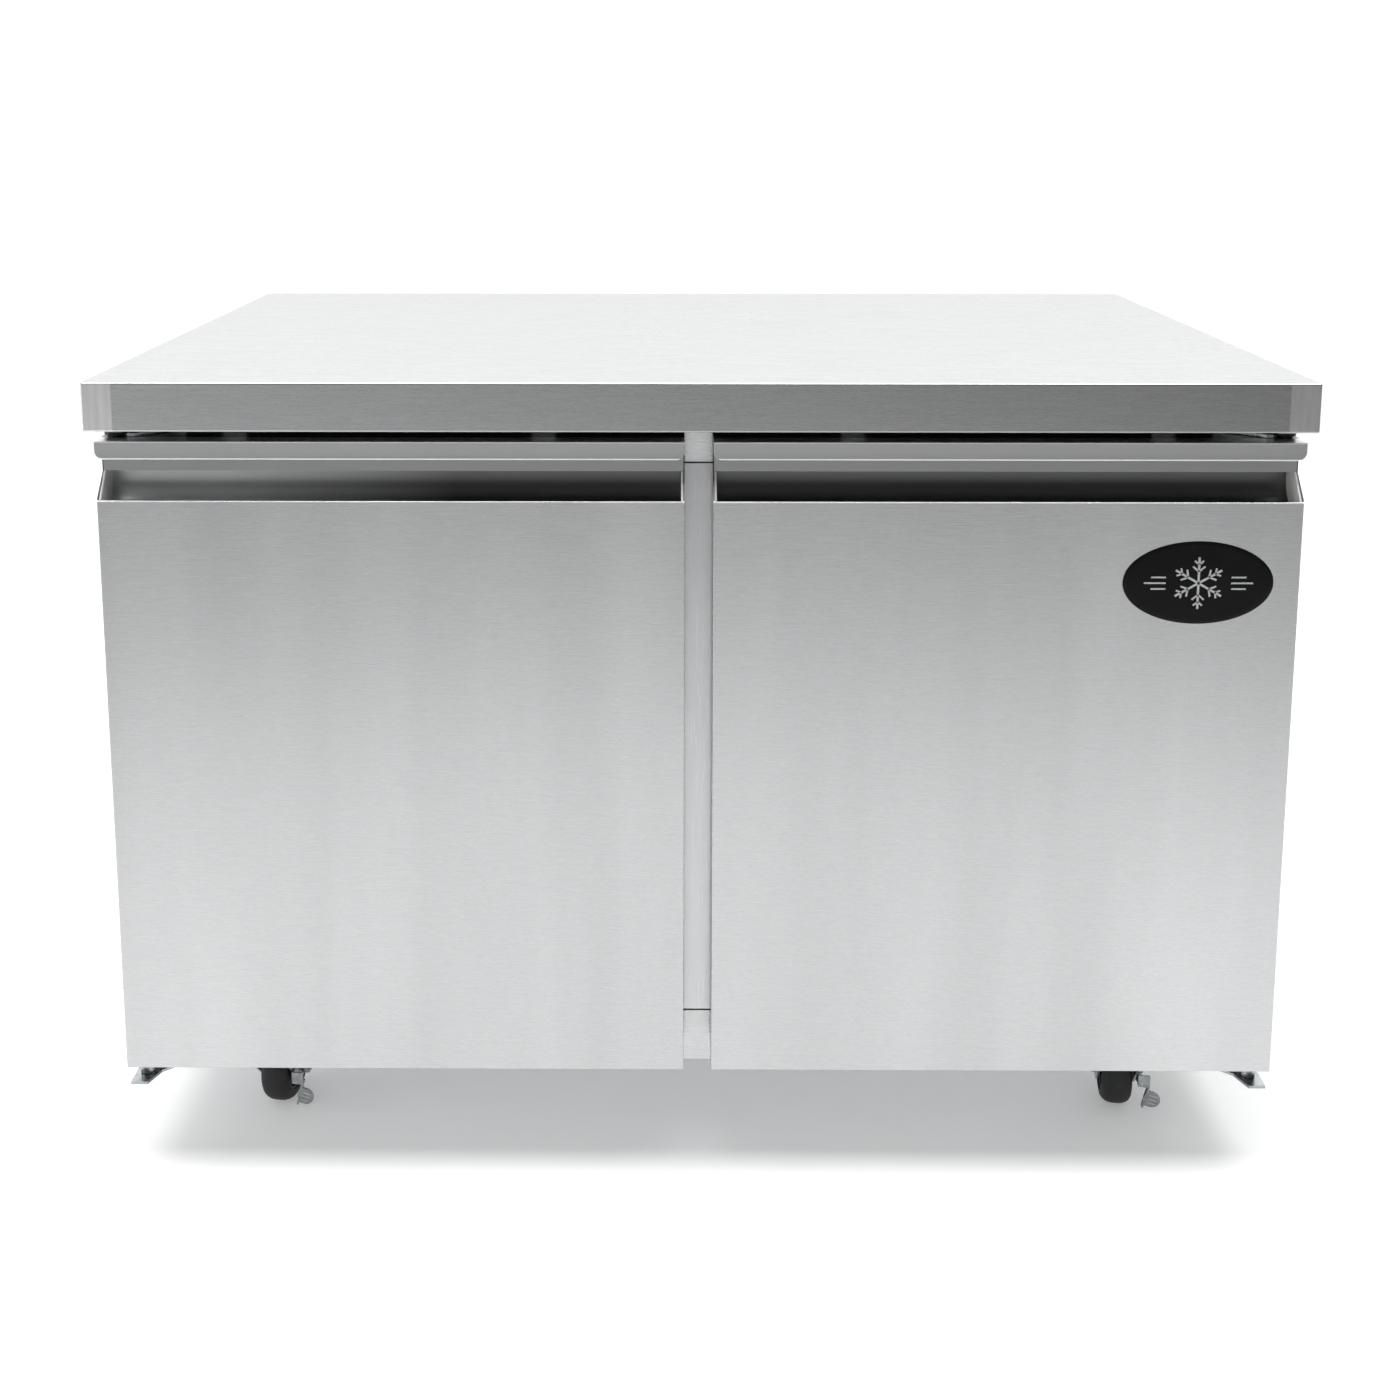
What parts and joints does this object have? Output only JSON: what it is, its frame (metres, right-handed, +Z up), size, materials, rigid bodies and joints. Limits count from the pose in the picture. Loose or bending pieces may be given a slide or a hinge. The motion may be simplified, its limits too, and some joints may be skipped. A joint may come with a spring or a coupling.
{
  "type": "undercounter refrigerator",
  "caption": "Undercounter refrigerator with a stainless worktop, two hinged doors with recessed grip channels, wire shelves inside and a rear condensing unit, on swivel casters.",
  "frame": {"origin": "on the floor, at the centre of the worktop's outline", "axes": "+Z up; -Y is the front, where the doors are; +X is to the right of a person facing the doors"},
  "size_m": [1.226, 0.762, 0.867],
  "materials": {
    "badge_plate": "gloss black plate",
    "black_enamel": "baked black enamel, semi-gloss",
    "black_plastic": "moulded, satin",
    "brushed_stainless": "brushed stainless sheet, horizontal grain",
    "coil_aluminium": "mill-finish fin stock",
    "copper_tube": "drawn copper tube",
    "core_board": "raw board",
    "fan_plastic": "moulded",
    "fasteners": "bright machined steel",
    "foam": "rigid foam, cut",
    "galvanised_sheet": "dull zinc-coated sheet",
    "gasket": "soft vinyl, matt",
    "inner_aluminium": "stucco-free plain anodised sheet",
    "welded_stainless": "satin stainless sheet",
    "wheel_tread": "moulded rubber tread",
    "white_plastic": "moulded, satin",
    "wire_coated": "white epoxy coated wire",
    "zinc_plated": "bright zinc plate"
  },
  "bodies": {
    "cabinet": {"worktop_shell": "brushed_stainless", "worktop_core": "core_board", "worktop_brackets": "zinc_plated", "side_panels": "brushed_stainless", "front_frame": "brushed_stainless", "centre_mullion": "brushed_stainless", "insulation_foam": "foam", "inner_liner": "inner_aluminium", "base_and_back_pan": "galvanised_sheet", "rear_grille": "galvanised_sheet", "cord_gland": "black_plastic", "controller": "black_plastic", "control_box": "galvanised_sheet", "top_hinge_brackets": "zinc_plated", "bottom_hinge_brackets": "zinc_plated", "caster_plates": "zinc_plated", "shelf_pilasters": "welded_stainless", "shelf_clips": "zinc_plated", "shelf_left": "wire_coated", "shelf_right": "wire_coated", "evaporator_cover": "white_plastic", "evaporator_fan_motor": "black_enamel", "evaporator_coil": "coil_aluminium", "drip_pan": "white_plastic", "condenser_coil": "black_enamel", "condenser_shroud": "black_enamel", "condenser_fan_motor": "black_enamel", "compressor": "black_enamel", "refrigerant_lines": "copper_tube", "condensate_pan": "white_plastic", "screws": "fasteners"},
    "door_left": {"door_left_skin": "brushed_stainless", "door_left_liner": "inner_aluminium", "door_left_foam": "foam", "door_left_gasket": "gasket", "door_left_handle": "brushed_stainless", "door_left_end_caps": "white_plastic", "door_left_hinge_bushes": "black_plastic"},
    "door_right": {"door_right_skin": "brushed_stainless", "door_right_liner": "inner_aluminium", "door_right_foam": "foam", "door_right_gasket": "gasket", "door_right_handle": "brushed_stainless", "door_right_end_caps": "white_plastic", "door_right_hinge_bushes": "black_plastic", "badge": "badge_plate"},
    "caster_front_left_swivel": {"caster_front_left_fork": "zinc_plated"},
    "caster_front_left_wheel": {"caster_front_left_wheel": "wheel_tread"},
    "caster_front_right_swivel": {"caster_front_right_fork": "zinc_plated"},
    "caster_front_right_wheel": {"caster_front_right_wheel": "wheel_tread"},
    "caster_rear_left_swivel": {"caster_rear_left_fork": "zinc_plated"},
    "caster_rear_left_wheel": {"caster_rear_left_wheel": "wheel_tread"},
    "caster_rear_right_swivel": {"caster_rear_right_fork": "zinc_plated"},
    "caster_rear_right_wheel": {"caster_rear_right_wheel": "wheel_tread"},
    "caster_front_left_brake": {"caster_front_left_brake": "zinc_plated"},
    "caster_front_right_brake": {"caster_front_right_brake": "zinc_plated"},
    "evaporator_fan": {"evaporator_fan": "fan_plastic"},
    "condenser_fan": {"condenser_fan": "coil_aluminium"},
    "key_up": {"key_up": "white_plastic"},
    "key_down": {"key_down": "white_plastic"}
  },
  "joints": [
    {"name": "door_left_hinge", "type": "hinge", "parent": "cabinet", "child": "door_left", "pos_m": [-0.594, -0.339, 0.465], "axis": [0, 0, -1], "range_deg": [0, 110], "stiffness_Nm_per_rad": 2, "springref_deg": -28.65},
    {"name": "door_right_hinge", "type": "hinge", "parent": "cabinet", "child": "door_right", "pos_m": [0.594, -0.339, 0.465], "axis": [0, 0, 1], "range_deg": [0, 110], "stiffness_Nm_per_rad": 2, "springref_deg": -28.65},
    {"name": "caster_front_left_swivel_joint", "type": "hinge", "parent": "cabinet", "child": "caster_front_left_swivel", "pos_m": [-0.48, -0.253, 0.09], "axis": [0, 0, 1], "continuous": true},
    {"name": "caster_front_left_wheel_spin", "type": "hinge", "parent": "caster_front_left_swivel", "child": "caster_front_left_wheel", "pos_m": [-0.47582, -0.22329, 0.038], "axis": [0.9903, -0.1392, 0], "continuous": true},
    {"name": "caster_front_left_brake_lever", "type": "hinge", "parent": "caster_front_left_swivel", "child": "caster_front_left_brake", "pos_m": [-0.47582, -0.22329, 0.038], "axis": [0.9903, -0.1392, 0], "range_deg": [-6, 0]},
    {"name": "caster_front_right_swivel_joint", "type": "hinge", "parent": "cabinet", "child": "caster_front_right_swivel", "pos_m": [0.48, -0.253, 0.09], "axis": [0, 0, 1], "continuous": true},
    {"name": "caster_front_right_wheel_spin", "type": "hinge", "parent": "caster_front_right_swivel", "child": "caster_front_right_wheel", "pos_m": [0.48418, -0.22329, 0.038], "axis": [0.9903, -0.1392, 0], "continuous": true},
    {"name": "caster_front_right_brake_lever", "type": "hinge", "parent": "caster_front_right_swivel", "child": "caster_front_right_brake", "pos_m": [0.48418, -0.22329, 0.038], "axis": [0.9903, -0.1392, 0], "range_deg": [-6, 0]},
    {"name": "caster_rear_left_swivel_joint", "type": "hinge", "parent": "cabinet", "child": "caster_rear_left_swivel", "pos_m": [-0.48, 0.318, 0.09], "axis": [0, 0, 1], "continuous": true},
    {"name": "caster_rear_left_wheel_spin", "type": "hinge", "parent": "caster_rear_left_swivel", "child": "caster_rear_left_wheel", "pos_m": [-0.48777, 0.28902, 0.038], "axis": [-0.9659, 0.2588, 0], "continuous": true},
    {"name": "caster_rear_right_swivel_joint", "type": "hinge", "parent": "cabinet", "child": "caster_rear_right_swivel", "pos_m": [0.48, 0.318, 0.09], "axis": [0, 0, 1], "continuous": true},
    {"name": "caster_rear_right_wheel_spin", "type": "hinge", "parent": "caster_rear_right_swivel", "child": "caster_rear_right_wheel", "pos_m": [0.48521, 0.28846, 0.038], "axis": [-0.9848, -0.1736, 0], "continuous": true},
    {"name": "evaporator_fan_spin", "type": "hinge", "parent": "cabinet", "child": "evaporator_fan", "pos_m": [0, 0.162, 0.665], "axis": [0, 1, 0], "continuous": true},
    {"name": "condenser_fan_spin", "type": "hinge", "parent": "cabinet", "child": "condenser_fan", "pos_m": [0.089, 0.277, 0.222], "axis": [1, 0, 0], "continuous": true},
    {"name": "key_up_press", "type": "slide", "parent": "cabinet", "child": "key_up", "axis": [0, -1, 0], "range_m": [0, 0.0006], "stiffness_N_per_m": 400},
    {"name": "key_down_press", "type": "slide", "parent": "cabinet", "child": "key_down", "axis": [0, -1, 0], "range_m": [0, 0.0006], "stiffness_N_per_m": 400}
  ]
}
